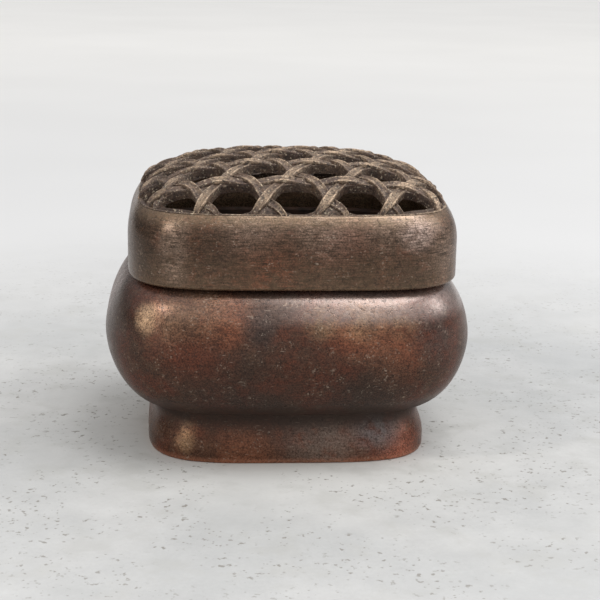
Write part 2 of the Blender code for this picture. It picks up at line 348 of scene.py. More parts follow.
class Looks(Nodes):
    """One material's nodes, and its colour so far, which each call of paint or shade works on."""

    def __init__(self, name, colour):
        self.material = bpy.data.materials.new(name)
        self.material.use_nodes = True
        super().__init__(self.material.node_tree)
        self.shader = self.tree.nodes["Principled BSDF"]
        self.place = self.add("ShaderNodeTexCoord", {}).outputs["Object"]
        self.colour = colour

    def step(self, value, low, high):
        """0 below low, 1 above high and smooth between; or the other way round if low is the higher one."""
        if low < high:
            return self.ranged(value, low, high, 0.0, 1.0)
        return self.ranged(value, high, low, 1.0, 0.0)

    def spread(self, value, low, high):
        """A noise's usual range stretched to run from low to high."""
        return self.ranged(value, 0.35, 0.65, low, high, "LINEAR")

    def mix(self, share, first, second, blend="MIX"):
        inputs = {"Factor": share, 6: first, 7: second}
        return self.add("ShaderNodeMix", inputs, data_type="RGBA", blend_type=blend).outputs[2]

    def paint(self, colour, share, strength=1.0):
        """Lays a colour over the colour so far, where the share is above 0 and as strongly as given."""
        self.colour = self.mix(self.times(share, strength), self.colour, colour)

    def shade(self, strength):
        """Multiplies the colour so far by a strength round 1."""
        grey = self.add("ShaderNodeCombineColor", {0: strength, 1: strength, 2: strength})
        self.colour = self.mix(1.0, self.colour, grey.outputs[0], "MULTIPLY")

    def stretched(self, scale, turn):
        """The object's coordinates, turned by degrees and then scaled by a number or by one for each axis."""
        scales = scale if isinstance(scale, tuple) else (scale, scale, scale)
        turns = [radians(degrees) for degrees in turn]
        inputs = {"Vector": self.place, "Rotation": turns, "Scale": scales}
        return self.add("ShaderNodeMapping", inputs).outputs["Vector"]

    def noise(self, scale, detail=3.0, roughness=0.55, turn=(0.0, 0.0, 0.0)):
        place = self.stretched(scale, turn)
        inputs = {"Vector": place, "Scale": 1.0, "Detail": detail, "Roughness": roughness}
        return self.add("ShaderNodeTexNoise", inputs).outputs["Fac"]

    def crumbs(self, scale, turn=(0.0, 0.0, 0.0)):
        """Scattered irregular crumbs: the peaks of a fine noise."""
        return self.step(self.noise(scale, 2.0, 0.6, turn), 0.58, 0.68)

    def spots(self, scale, size, share, turn=(0.0, 0.0, 0.0)):
        """Scattered marks: 1 inside a spot and 0 outside, in a share of the cells of a Voronoi pattern."""
        cells = self.add("ShaderNodeTexVoronoi", {"Vector": self.stretched(scale, turn), "Scale": 1.0})
        pick = self.add("ShaderNodeSeparateColor", {0: cells.outputs["Color"]})
        chosen = self.math("LESS_THAN", pick.outputs[0], share)
        return self.times(self.step(cells.outputs["Distance"], size, 0.5 * size), chosen)

    def near(self, point, radius):
        """1 at a point of the object, falling smoothly to 0 at a distance."""
        distance = self.add("ShaderNodeVectorMath", {0: self.place, 1: point}, operation="DISTANCE")
        return self.step(distance.outputs["Value"], radius, 0.1 * radius)

    def level(self, low, high):
        """A step between two heights of the object."""
        return self.step(self.add("ShaderNodeSeparateXYZ", {0: self.place}).outputs["Z"], low, high)

    def stored(self, name):
        return self.add("ShaderNodeAttribute", {}, attribute_name=name).outputs["Fac"]

    def bump(self, height, distance, below=None):
        inputs = {"Height": height, "Strength": 1.0, "Distance": distance}
        if below is not None:
            inputs["Normal"] = below
        return self.add("ShaderNodeBump", inputs).outputs["Normal"]

    def finish(self, roughness, metallic, normal, others=None):
        """Feeds the shader, and its other sockets by their names."""
        inputs = {"Base Color": self.colour, "Roughness": roughness, "Metallic": metallic, "Normal": normal}
        for name, value in (inputs | (others or {})).items():
            self.feed(self.shader.inputs[name], value)
        return self.material


# Patina colours, among them the tans, warm brown and rose that paint highlights and their glow
BLACK_BROWN = (0.022, 0.014, 0.011)
DARK_BROWN = (0.042, 0.021, 0.013)
BROWN = (0.07, 0.037, 0.021)
HIGHLIGHT_TAN = (0.19, 0.118, 0.064)
HANDLED_TAN_HIGHLIGHT = (0.52, 0.34, 0.205)
HIGHLIGHT_GLOW_BROWN = (0.165, 0.092, 0.054)
AMBER_BROWN = (0.17, 0.092, 0.05)
LID_BROWN = (0.049, 0.025, 0.016)
LID_GREY = (0.145, 0.102, 0.078)
LID_ROSE_WEAR_AND_HIGHLIGHT = (0.33, 0.245, 0.21)
DARK_RED = (0.078, 0.022, 0.011)
ROSE_BROWN = (0.11, 0.045, 0.032)
RED = (0.165, 0.06, 0.029)
FOOT_RED = (0.24, 0.078, 0.048)
FOOT_GREY = (0.093, 0.093, 0.093)
FOOT_DUST = (0.18, 0.145, 0.118)
SLATE = (0.044, 0.028, 0.023)
# Bared metal, among it a lilac that also paints a sheen, dust, painted shade and soot
GOLD = (0.46, 0.32, 0.19)
COPPER = (0.5, 0.19, 0.1)
HEATED_COPPER = (0.2, 0.09, 0.05)
LILAC_WEAR_AND_SHEEN = (0.36, 0.285, 0.255)
PALE_SPECK = (0.58, 0.46, 0.36)
PAINTED_SHADE_BROWN = (0.036, 0.026, 0.021)
SOOT = (0.016, 0.012, 0.01)
# The weave
WEAVE_DARK = (0.062, 0.034, 0.022)
WEAVE_BROWN = (0.112, 0.07, 0.046)
WEAVE_TAN = (0.225, 0.156, 0.096)
WEAVE_DUST = (0.245, 0.176, 0.118)
WEAVE_RIDGE = (0.48, 0.355, 0.25)
WEAVE_SPECK = (0.52, 0.43, 0.31)
# The floor: near the object, painted light round the foot, and painted lighter further out and far away
FLOOR_NEAR = (0.395, 0.397, 0.39)
FLOOR_NEAR_PALE = (0.452, 0.449, 0.438)
FLOOR_PAINTED_LIGHT = (0.6, 0.59, 0.56)
FLOOR_STAIN = (0.36, 0.355, 0.33)
FLOOR_FLECK = (0.17, 0.155, 0.13)
FLOOR_OUT = (0.59, 0.586, 0.58)
FLOOR_FAR = (0.885, 0.862, 0.822)

# Where the patina differs, and where highlights and shade are painted: a point, a radius, a colour and how
# strongly it shows
BOWL_PATCHES = (
    # painted shade: the belly's left side, darker where less light reaches it
    ((-0.044, -0.02, 0.032), 0.018, BLACK_BROWN, 0.9),
    ((-0.0162, -0.0398, 0.0376), 0.01, RED, 0.75),
    ((-0.0243, -0.0405, 0.0305), 0.012, DARK_RED, 0.8),
    ((0.0155, -0.0407, 0.0356), 0.0115, RED, 0.9),
    ((0.0239, -0.0407, 0.029), 0.011, RED, 0.5),
    ((-0.0079, -0.041, 0.0356), 0.007, SLATE, 0.95),
    ((-0.0079, -0.0411, 0.0338), 0.0032, BLACK_BROWN, 0.9),
    ((0.0, -0.0419, 0.03), 0.012, DARK_BROWN, 0.7),
    ((0.034, -0.036, 0.033), 0.011, SLATE, 0.8),
    ((0.043, -0.026, 0.029), 0.014, DARK_BROWN, 0.85),
    # painted highlight, on partly worn tan: the bright spot on the belly's left shoulder and the glow round
    # it
    ((-0.0345, -0.0342, 0.0368), 0.005, HANDLED_TAN_HIGHLIGHT, 1.0),
    ((-0.03, -0.037, 0.0372), 0.009, HIGHLIGHT_GLOW_BROWN, 0.7),
    # painted highlight: the tan lower edge of the shoulder's sheen
    ((0.006, -0.0402, 0.0374), 0.0065, HIGHLIGHT_TAN, 0.6),
    ((0.015, -0.0398, 0.0376), 0.007, HIGHLIGHT_TAN, 0.75),
    ((0.024, -0.0388, 0.0372), 0.0065, HIGHLIGHT_TAN, 0.5),
    ((-0.022, -0.0375, 0.0395), 0.011, AMBER_BROWN, 0.5),
    ((-0.012, -0.039, 0.0165), 0.02, BLACK_BROWN, 0.6),
    ((0.015, -0.038, 0.016), 0.02, BLACK_BROWN, 0.75),
)
FOOT_PATCHES = (
    ((-0.0097, -0.0319, 0.003), 0.011, RED, 0.9),
    ((0.0264, -0.0289, 0.0), 0.0095, FOOT_RED, 0.95),
    # painted highlight: a streak down the foot's left side
    ((-0.0252, -0.0287, 0.0078), 0.0036, HIGHLIGHT_TAN, 0.75),
    ((-0.0256, -0.029, 0.0045), 0.004, HIGHLIGHT_TAN, 0.8),
    ((0.0066, -0.0316, 0.006), 0.014, FOOT_DUST, 0.9),
    ((0.0, -0.031, 0.0118), 0.026, BLACK_BROWN, 0.75),
    ((0.021, -0.03, 0.0085), 0.009, FOOT_GREY, 0.85),
)
LID_PATCHES = (
    # painted highlight: a streak down the band's left corner
    ((-0.0284, -0.0351, 0.0575), 0.0055, LID_GREY, 0.85),
    ((-0.0284, -0.0351, 0.0525), 0.0055, LID_GREY, 0.8),
    ((-0.0284, -0.0351, 0.0475), 0.0055, LID_GREY, 0.65),
    # painted shade: the band's left side, dark beside that highlight
    ((-0.0385, -0.024, 0.052), 0.019, BLACK_BROWN, 1.0),
    ((-0.035, -0.0315, 0.05), 0.006, BLACK_BROWN, 0.9),
    ((0.0109, -0.0372, 0.0555), 0.009, ROSE_BROWN, 0.7),
    ((-0.006, -0.0372, 0.047), 0.012, DARK_RED, 0.7),
    ((-0.018, -0.0372, 0.054), 0.009, BLACK_BROWN, 0.45),
    # worn rose, brightened into a painted highlight at the band's upper right
    ((0.028, -0.0346, 0.0575), 0.0065, LID_ROSE_WEAR_AND_HIGHLIGHT, 1.0),
    ((0.015, -0.037, 0.048), 0.011, DARK_BROWN, 0.85),
    ((0.027, -0.036, 0.047), 0.008, BLACK_BROWN, 0.45),
    ((-0.01, -0.0366, 0.0602), 0.011, LID_GREY, 0.55),
    ((0.006, -0.0366, 0.0602), 0.012, LID_GREY, 0.7),
    ((0.021, -0.0362, 0.0602), 0.011, LID_GREY, 0.6),
    ((0.0365, -0.03, 0.052), 0.012, LID_GREY, 0.7),
)

# Soot, and painted shade in the crease under the belly, at the top of the foot and at the lid's seat: the
# height where it starts, the one where it is full, how strongly it shows and its colour
NECK_PAINTED_SHADE = (0.019, 0.013, 0.75, PAINTED_SHADE_BROWN)
FOOT_PAINTED_SHADE = (0.0062, 0.011, 0.85, PAINTED_SHADE_BROWN)
SEAT_PAINTED_SHADE = (0.044, 0.0425, 0.5, PAINTED_SHADE_BROWN)
RIM_SOOT = (0.041, 0.0465, 1.0, SOOT)


def scratches(looks):
    """Short fine scratches in three directions."""
    marks = looks.spots((170.0, 1500.0, 1500.0), 0.15, 0.18, (0.0, 7.0, 0.0))
    for share, turn in ((0.1, (0.0, 38.0, 0.0)), (0.12, (0.0, -70.0, 20.0))):
        marks = looks.most(marks, looks.spots((210.0, 1900.0, 1900.0), 0.15, share, turn))
    return marks


def paint_patina(looks, tones, patches, mottle):
    """Clouds and mottling of the tones, and then the patches."""
    looks.paint(tones[1], looks.step(looks.noise(75.0), 0.38, 0.6))
    looks.paint(tones[2], looks.step(mottle, 0.45, 0.7), 0.6)
    for point, radius, colour, strength in patches:
        looks.paint(colour, looks.times(looks.near(point, radius), looks.step(mottle, 0.22, 0.55)), strength)


def paint_marks(looks, mottle, wear_and_sheen_share):
    """Pale dust and scratches, and dark pits. Returns how far all of them sink into the surface."""
    dusting = looks.times(looks.crumbs(1900.0), looks.step(mottle, 0.46, 0.66))
    marks = looks.most(dusting, scratches(looks))
    looks.paint(PALE_SPECK, marks, looks.plus(0.36, looks.times(wear_and_sheen_share, 0.1)))
    pits = looks.crumbs(1100.0, (40.0, 15.0, 0.0))
    looks.paint(BLACK_BROWN, pits, 0.45)
    return looks.plus(looks.times(pits, 0.7), looks.times(marks, 0.2))


def bronze(name, tones, worn_and_sheen, streaks, patches, soot_and_shade):
    """Waxed, patinated bronze in three tones, bared where its stored vertex value says it is rubbed; on the
    bowl's shoulder that value also lays a painted lilac sheen.

    Streaks is how strongly it is brushed lengthwise. Patches, and the soot and painted shade, are as listed
    above.
    """
    looks = Looks(name, tones[0])
    mottle = looks.noise(330.0, 4.0, 0.62)
    grain = looks.noise(2500.0, 3.0, 0.7)
    brushing = looks.noise((330.0, 330.0, 3400.0), 3.0, 0.68)
    paint_patina(looks, tones, patches, mottle)
    brushed = looks.spread(brushing, 1.0 - streaks, 1.0 + streaks)
    looks.shade(looks.times(looks.spread(grain, 0.48, 1.72), brushed))
    wear_and_sheen_share = looks.stored("wear_and_sheen")
    wear_and_sheen = looks.times(wear_and_sheen_share, looks.spread(looks.noise(900.0, 3.0, 0.65), 0.55, 0.95))
    # worn metal, and on the bowl's shoulder a painted lilac sheen
    looks.paint(worn_and_sheen, wear_and_sheen, 0.85)
    sunk = paint_marks(looks, mottle, wear_and_sheen_share)
    # soot, and painted shade in the crease under the belly, at the top of the foot and at the lid's seat
    start, full, strength, soot_and_shade_colour = soot_and_shade
    sooted_and_shaded = looks.times(looks.level(start, full), looks.spread(mottle, 0.9 * strength, strength))
    looks.paint(soot_and_shade_colour, sooted_and_shaded)

    unsooted_and_unshaded = looks.less(1.0, sooted_and_shaded)
    metal = looks.times(looks.plus(METAL, looks.times(wear_and_sheen, BARED_METAL)), unsooted_and_unshaded)
    coat = looks.times(looks.plus(WAX, looks.times(wear_and_sheen_share, HANDLED_WAX)), unsooted_and_unshaded)
    roughness = looks.plus(looks.spread(mottle, 0.25, 0.33), looks.spread(grain, -0.06, 0.06))
    roughness = looks.most(roughness, looks.times(sooted_and_shaded, 0.85))
    relief = looks.less(looks.plus(looks.times(grain, 0.5), looks.times(brushing, streaks)), sunk)
    normal = looks.bump(relief, 0.00006, looks.bump(looks.noise(220.0, 2.0), 0.0001))
    fixed = {"Specular IOR Level": SHINE, "Specular Tint": EDGE_TINT, "Coat Roughness": WAX_ROUGHNESS}
    return looks.finish(roughness, metal, normal, {"Coat Weight": coat} | fixed)


def lattice_bronze():
    """The casting of the weave: rubbed pale on its ridges, dusty on its flanks, dark patina and painted shade
    in its recesses, and painted shade on its right side.
    """
    looks = Looks("lattice_bronze", WEAVE_DARK)
    mottle = looks.noise(430.0, 4.0, 0.62)
    grain = looks.noise(2300.0, 3.0, 0.7)
    height = looks.stored("height")
    looks.paint(WEAVE_BROWN, looks.step(looks.noise(110.0), 0.38, 0.6))
    looks.paint(WEAVE_TAN, looks.times(looks.stored("leaning"), looks.step(mottle, 0.25, 0.5)), 0.55)
    looks.paint(WEAVE_DUST, looks.times(looks.step(mottle, 0.44, 0.64), looks.step(height, 0.05, 0.6)), 0.75)
    rubbed = looks.step(looks.plus(mottle, looks.times(grain, 0.5)), 0.46, 0.85)
    ridge = looks.times(looks.step(height, 0.66, 0.95), rubbed)
    looks.paint(WEAVE_RIDGE, ridge, 0.78)
    # painted shade: the weave's right side darker, against the stronger light there
    painted_shade_right = looks.near((0.034, -0.004, 0.064), 0.026)
    looks.paint(BROWN, painted_shade_right, 0.55)
    # dark patina in the recesses, with painted shade
    recess = looks.times(looks.step(height, 0.42, 0.1), looks.step(mottle, 0.3, 0.55))
    looks.paint(BLACK_BROWN, recess, 0.4)
    looks.paint(WEAVE_SPECK, looks.crumbs(1700.0), 0.6)
    pits = looks.crumbs(1300.0, (20.0, 0.0, 35.0))
    looks.paint(BLACK_BROWN, pits, 0.75)
    looks.shade(looks.spread(grain, 0.42, 1.58))
    relief = looks.less(looks.plus(looks.times(grain, 0.7), looks.times(mottle, 0.5)), looks.times(pits, 0.5))
    metal = looks.plus(0.1, looks.times(ridge, 0.45))
    return looks.finish(looks.spread(mottle, 0.46, 0.7), metal, looks.bump(relief, 0.00022))


def ash_looks():
    looks = Looks("ash", (0.19, 0.175, 0.16))
    lumps = looks.noise(900.0, 5.0, 0.7)
    grain = looks.noise(3200.0, 3.0, 0.7)
    looks.paint((0.32, 0.3, 0.275), looks.step(lumps, 0.35, 0.65))
    drifts = looks.spread(looks.noise(120.0), 0.9, 1.08)
    looks.shade(looks.times(drifts, looks.spread(grain, 0.8, 1.2)))
    cinders = looks.most(looks.spots(750.0, 0.2, 0.16), looks.crumbs(1300.0))
    looks.paint((0.045, 0.04, 0.036), cinders, 0.6)
    scorched = looks.near((0.0, 0.0, EMBER_LOW.z), 0.02)
    looks.paint((0.09, 0.08, 0.075), scorched, 0.55)
    normal = looks.bump(looks.plus(lumps, looks.times(grain, 0.5)), 0.0006)
    return looks.finish(looks.plus(0.85, looks.times(grain, 0.15)), 0.0, normal)


def charcoal_looks():
    looks = Looks("charcoal", (0.012, 0.011, 0.011))
    cracks = looks.noise(380.0, 5.0, 0.7)
    grain = looks.noise(2200.0, 3.0, 0.7)
    looks.paint((0.045, 0.042, 0.04), looks.step(grain, 0.3, 0.7))
    powder = looks.times(looks.level(EMBER_LOW.z + 0.003, EMBER_HIGH.z), looks.step(cracks, 0.45, 0.7))
    looks.paint((0.34, 0.32, 0.3), powder, 0.8)
    normal = looks.bump(looks.plus(cracks, looks.times(grain, 0.4)), 0.0005)
    return looks.finish(looks.plus(0.72, looks.times(grain, 0.25)), 0.0, normal)


def wood_looks():
    looks = Looks("incense_wood", (0.055, 0.024, 0.011))
    grain = looks.noise((260.0, 1500.0, 1500.0), 4.0, 0.6)
    fibre = looks.noise((500.0, 5000.0, 5000.0), 2.0, 0.6)
    looks.paint((0.19, 0.095, 0.045), looks.step(grain, 0.35, 0.65))
    looks.paint((0.03, 0.014, 0.008), looks.step(fibre, 0.5, 0.7), 0.5)
    normal = looks.bump(looks.plus(grain, fibre), 0.00025)
    return looks.finish(looks.plus(0.55, looks.times(grain, 0.3)), 0.0, normal)


def floor_looks():
    """Pale matt board with faint clouds and clusters of dark flecks, plainer further out, with painted light:
    paler round the foot, where it cancels the contact shadow, and lighter further out.
    """
    looks = Looks("pale_floor", FLOOR_NEAR)
    middle = (0.0, 0.0, 0.0)
    blotches = looks.noise(110.0)
    grain = looks.noise(900.0, 3.0, 0.7)
    looks.paint(FLOOR_NEAR_PALE, looks.step(looks.noise(16.0, 4.0), 0.36, 0.62))
    looks.shade(looks.times(looks.spread(blotches, 0.95, 1.035), looks.spread(grain, 0.97, 1.03)))
    # painted light: paler round the foot, which cancels its contact shadow
    looks.paint(FLOOR_PAINTED_LIGHT, looks.near(middle, 0.082), 0.9)
    looks.paint(FLOOR_STAIN, looks.step(looks.noise(70.0, 4.0, 0.6), 0.5, 0.66), 0.35)
    crumbs = looks.step(looks.noise(520.0, 2.0, 0.6), 0.61, 0.68)
    flecks = looks.most(looks.spots((190.0, 240.0, 190.0), 0.11, 0.45), crumbs)
    flecks = looks.most(flecks, looks.spots((560.0, 700.0, 560.0), 0.2, 0.4, (0.0, 0.0, 30.0)))
    clusters = looks.step(looks.noise(45.0), 0.42, 0.55)
    looks.paint(FLOOR_FLECK, looks.times(flecks, clusters), 0.85)
    # painted light: lighter further out and far away
    looks.colour = looks.mix(looks.near(middle, 0.3), FLOOR_OUT, looks.colour)
    looks.colour = looks.mix(looks.near(middle, 1.5), FLOOR_FAR, looks.colour)
    looks.shade(looks.spread(looks.noise(5.0, 2.0), 0.985, 1.012))
    normal = looks.bump(looks.plus(grain, blotches), 0.00006)
    return looks.finish(looks.plus(0.55, looks.times(grain, 0.2)), 0.0, normal)


def make_floor():
    made = bmesh.new()
    bmesh.ops.create_circle(made, cap_ends=True, radius=6.0, segments=96)
    floor = as_object("floor", made)
    floor.data.materials.append(floor_looks())


# ---- The bowl, its foot and its collar ----


def bowl_power(z):
    """How square the bowl is at a height: roundest at the belly, squarer towards the foot and the lid."""
    if z < BELLY_Z:
        share = min(1.0, (BELLY_Z - z) / (BELLY_Z - NECK_Z))
        return BELLY_POWER + (FOOT_POWER - BELLY_POWER) * share**2
    share = min(1.0, (z - BELLY_Z) / (SEAT_Z - BELLY_Z))
    return BELLY_POWER + (LID_POWER - BELLY_POWER) * share**2


def belly_profile():
    """(half, z) up the outside of the bowl, from its neck to the rounded edge of its mouth."""
    points = []
    for step in range(28):
        turn = pi / 2.0 * (1.0 - step / 28)
        half = NECK_HALF + (BELLY_HALF - NECK_HALF) * cos(turn) ** (2.0 / UNDER_BELLY_CURVE)
        z = BELLY_Z - (BELLY_Z - NECK_Z) * sin(turn) ** (2.0 / UNDER_BELLY_CURVE)
        points.append((half, z))
    mouth = COLLAR_HALF + 2.0 * GAP
    last = acos(((mouth - SHOULDER_HALF) / (BELLY_HALF - SHOULDER_HALF)) ** (SHOULDER_CURVE / 2.0))
    for step in range(33):
        turn = last * step / 32
        half = SHOULDER_HALF + (BELLY_HALF - SHOULDER_HALF) * cos(turn) ** (2.0 / SHOULDER_CURVE)
        z = BELLY_Z + (SEAT_Z - BELLY_Z) * sin(turn) ** (2.0 / SHOULDER_CURVE)
        points.append((half, z))
    return points


def make_body_shell(looks):
    outside = belly_profile()
    bore = COLLAR_HALF + GAP
    inside = [
        (half, z)
        for half, z in inset(outside, SHELL_WALL)
        if z < SEAT_Z and half > NECK_HALF - 0.001 and (z < BELLY_Z or half > bore)
    ]
    rings = [section(half, bowl_power(z), z) for half, z in outside]
    rings += [section(bore, LID_POWER, z) for z in (outside[-1][1], inside[-1][1])]
    rings += [section(half, bowl_power(z), z) for half, z in inside[::-1]]
    shell = as_object("bowl", skinned(rings))

    def worn_and_sheen(co):
        """Handled on its shoulder, where a lilac sheen is also painted, and most on the right of it, where
        that painted sheen is brightest.
        """
        shoulder = smooth_step(0.0352, 0.0392, co.z) * smooth_step(0.0438, 0.0418, co.z)
        return 0.05 + shoulder * (0.12 + 0.56 * smooth_step(-0.01, 0.01, co.x))

    mark(shell, "wear_and_sheen", worn_and_sheen)
    placed(shell, looks, "vessel", "body_shell")


def make_foot(looks):
    """The flared skirt under the neck, with its standing edge rounded a little."""
    rounding = 0.0005
    outside = [
        (FOOT_HALF - rounding, 0.0),
        (FOOT_HALF - 0.3 * rounding, 0.3 * rounding),
        (FOOT_HALF, rounding),
    ]
    for step in range(1, 25):
        share = step / 24
        ease = smooth_step(0.25, 1.0, share)
        outside.append((FOOT_HALF - (FOOT_HALF - NECK_HALF) * ease, max(rounding * 1.5, NECK_Z * share)))
    inside = [(half - FOOT_WALL, z) for half, z in outside if z > rounding]
    inside.append((FOOT_HALF - FOOT_WALL, 0.0))
    profile = outside + sorted(inside, key=lambda point: -point[1])
    foot = skinned_profile("foot", profile, FOOT_POWER)
    mark(foot, "wear_and_sheen", lambda co: 0.08 + 0.5 * smooth_step(0.0016, 0.0004, co.z))
    placed(foot, looks, "vessel", "foot_ring")


def make_collar(looks):
    inner = COLLAR_HALF - COLLAR_WALL
    edge = 0.0003
    profile = [
        (COLLAR_HALF, COLLAR_LOW.z),
        (COLLAR_HALF, COLLAR_HIGH.z - edge),
        (COLLAR_HALF - edge, COLLAR_HIGH.z),
        (inner + edge, COLLAR_HIGH.z),
        (inner, COLLAR_HIGH.z - edge),
        (inner, COLLAR_LOW.z),
    ]
    collar = skinned_profile("mouth_collar", profile, LID_POWER)
    mark(collar, "wear_and_sheen", lambda co: 0.2 + 0.6 * smooth_step(COLLAR_HIGH.z - 0.001, COLLAR_HIGH.z, co.z))
    placed(collar, looks, "vessel", "rim_collar")


# ---- The lid ----


def make_lid_band(looks):
    """The upright side of the lid: a rounded lower edge, a straight wall and a shoulder that leans in."""
    inner = LID_HALF - LID_WALL
    rounding = 0.001
    profile = [(inner, SEAT_Z + 0.0002), (inner + 0.0002, SEAT_Z)]
    for step in range(7):
        turn = pi / 2.0 * step / 6
        half = LID_HALF - rounding * (1.0 - sin(turn))
        profile.append((half, SEAT_Z + rounding * (1.0 - cos(turn))))
    for step in range(25):
        share = step / 24
        drop = (LID_HALF - DOME_HALF) * share**BAND_SHOULDER_CURVE
        profile.append((LID_HALF - drop, BAND_STRAIGHT_Z + (BAND_TOP_Z - 0.0002 - BAND_STRAIGHT_Z) * share))
    profile += [
        (DOME_HALF - 0.0002, BAND_TOP_Z),
        (DOME_HALF - 0.0009, BAND_TOP_Z),
        (DOME_HALF - 0.0022, BAND_TOP_Z - 0.0018),
        (inner - 0.0012, BAND_TOP_Z - 0.004),
        (inner, BAND_STRAIGHT_Z),
    ]
    band = skinned_profile("lid_side", profile, LID_POWER, LID_MIDDLE_X)

    def worn_and_sheen(co):
        """Handled along its upper and lower edges, and partly bare inside."""
        top = smooth_step(BAND_TOP_Z - 0.0035, BAND_TOP_Z - 0.0005, co.z)
        bottom = smooth_step(SEAT_Z + 0.0015, SEAT_Z + 0.0003, co.z)
        if co.z < BAND_TOP_Z - 0.003 and dome_level(co.x - LID_MIDDLE_X, co.y) < LID_HALF - 0.5 * LID_WALL:
            return 0.45
        return 0.08 + 0.3 * top + 0.3 * bottom

    mark(band, "wear_and_sheen", worn_and_sheen)
    placed(band, looks, "lid", "lid_band")


def dome_curve():
    """Arrays of the distance out and of the distance along the dome from its top."""
    turn = np.linspace(pi / 2.0, 0.0, 400)
    out = DOME_HALF * np.cos(turn) ** (2.0 / DOME_CURVE)
    out[0] = 0.0
    z = (DOME_TOP_Z - BAND_TOP_Z) * np.sin(turn) ** (2.0 / DOME_CURVE)
    along = np.concatenate([[0.0], np.cumsum(np.hypot(np.diff(out), np.diff(z)))])
    return out, along


DOME_OUT, DOME_ALONG = dome_curve()
DEEP_SHARE = (DOME_HALF - DEPTH_LESS) / DOME_HALF
DOME_LENGTH = 2.0 * DOME_ALONG[-1] * DEEP_SHARE
ROW = DOME_LENGTH / ROWS


def flat(distance, share=1.0):
    """How far out, seen from above, a point lies that is this far along the dome from its top."""
    along = abs(distance) / share
    out = float(np.interp(along, DOME_ALONG, DOME_OUT)) + max(0.0, along - DOME_ALONG[-1])
    return copysign(share * out, distance)


def plan(u, s):
    """The place, seen from above and from the lid's middle, of a point given along the dome."""
    return flat(u), flat(s - DOME_LENGTH / 2.0, DEEP_SHARE)


def dome_level(x, y):
    """The half width of the section that passes through a place."""
    return (abs(x) ** LID_POWER + abs(y / DEEP_SHARE) ** LID_POWER) ** (1.0 / LID_POWER)


def dome_point(x, y):
    """The point of the dome over a place, and the dome's normal there."""
    level = max(1e-6, min(1.0, dome_level(x, y) / DOME_HALF))
    rise = DOME_TOP_Z - BAND_TOP_Z
    height = (1.0 - level**DOME_CURVE) ** (1.0 / DOME_CURVE)
    slope = level ** (DOME_CURVE - LID_POWER) / DOME_HALF
    steep_x = slope * (abs(x) / DOME_HALF) ** (LID_POWER - 1.0)
    steep_y = slope * (abs(y / DEEP_SHARE) / DOME_HALF) ** (LID_POWER - 1.0) / DEEP_SHARE
    steep_z = height ** (DOME_CURVE - 1.0) / rise
    normal = Vector((copysign(steep_x, x), copysign(steep_y, y), steep_z)).normalized()
    return Vector((x, y, BAND_TOP_Z + rise * height)), normal


def crossing(row, place, side):
    """The u at which a strand meets a row. Side is 1 if it moves right as the rows go up, and -1 if left."""
    return WEAVE_SHIFT + (place + 0.5 + side * row / 2.0) * PITCH


def bulge(share, power):
    """How far across a strand is, from 0 to 1, a share of a row down: further at first for a high power."""
    return (1.0 - (1.0 - share) ** power) ** (1.0 / power)


LEVEL_SHARE = (CROSSING_RISE - LEVEL_RISE) / ROW


def slanting_strand(number, side, power):
    """(u, s, lift) down a strand from the back edge. Side is 1 if it runs to the right and -1 to the left.

    Lift is 1 where the strand lies over another and -1 where it lies under.
    """
    path = []
    for row in range(ROWS, -2, -1):
        top = crossing(row + 1, number, -side)
        for step in range(20):
            share = step / 20
            u = top + side * 0.5 * PITCH * bulge(share, power)
            if share < LEVEL_SHARE:
                wave = cos(pi * share / LEVEL_SHARE)
            else:
                wave = -cos(pi * (share - LEVEL_SHARE) / (1.0 - LEVEL_SHARE))
            path.append((u, (row + 1 - share) * ROW + CROSSING_RISE, -side * wave))
    return eased(path)


def eased(path):
    """The path with its corners rounded by averaging each point with its neighbours."""
    return [tuple(np.mean(path[max(0, i - 2) : i + 3], axis=0)) for i in range(len(path))]


def level_strand(row):
    """(u, s, lift) along a strand that runs across: over the left strands and under the right ones."""
    path = []
    over = -0.5 * PITCH * bulge(LEVEL_SHARE, LEFT_CURVE)
    under = 0.5 * PITCH * bulge(LEVEL_SHARE, RIGHT_CURVE)
    turn = (under - over) / PITCH
    for place in range(-4, 4):
        middle = WEAVE_SHIFT + (place + 0.5 + 0.5 * (row % 2)) * PITCH
        for step in range(20):
            share = step / 20
            u = middle + over + share * PITCH
            wave = share / turn if share < turn else 1.0 + (share - turn) / (1.0 - turn)
            lift = cos(pi * wave)
            path.append((u, row * ROW + LEVEL_RISE + LEVEL_WAVE * lift, lift))
    return eased(path)


# Half a strand's section from its middle outwards: shares of its half width, and how far below its top
STRAND_SECTION = ((0.0, 0.00034), (0.36, 0.0003), (0.52, 0.00016), (0.62, 0.00002))
STRAND_SECTION += ((0.78, 0.0), (0.92, 0.00012), (1.0, 0.00045))


def swept(name, path, half):
    """A closed strand along each stretch of the (u, s, lift) path that lies on the dome."""
    stretches = [[]]
    for u, s, lift in path:
        x, y = plan(u, s)
        if dome_level(x, y) < DOME_HALF * 0.9995:
            stretches[-1].append((x, y, lift))
        elif stretches[-1]:
            stretches.append([])
    long_ones = [stretch for stretch in stretches if len(stretch) > 5]
    return [sweep_stretch(f"{name}_{count}", stretch, half) for count, stretch in enumerate(long_ones)]


def rim_stop(here, before):
    """The place where the way onward from the place before through this one meets the dome's edge."""
    reach = 8.0
    ahead_x = here[0] + reach * (here[0] - before[0])
    ahead_y = here[1] + reach * (here[1] - before[1])
    low = 0.0
    high = 1.0
    for _ in range(24):
        middle = (low + high) / 2.0
        x = here[0] + (ahead_x - here[0]) * middle
        y = here[1] + (ahead_y - here[1]) * middle
        if dome_level(x, y) < DOME_HALF:
            low = middle
        else:
            high = middle
    return here[0] + (ahead_x - here[0]) * low, here[1] + (ahead_y - here[1]) * low


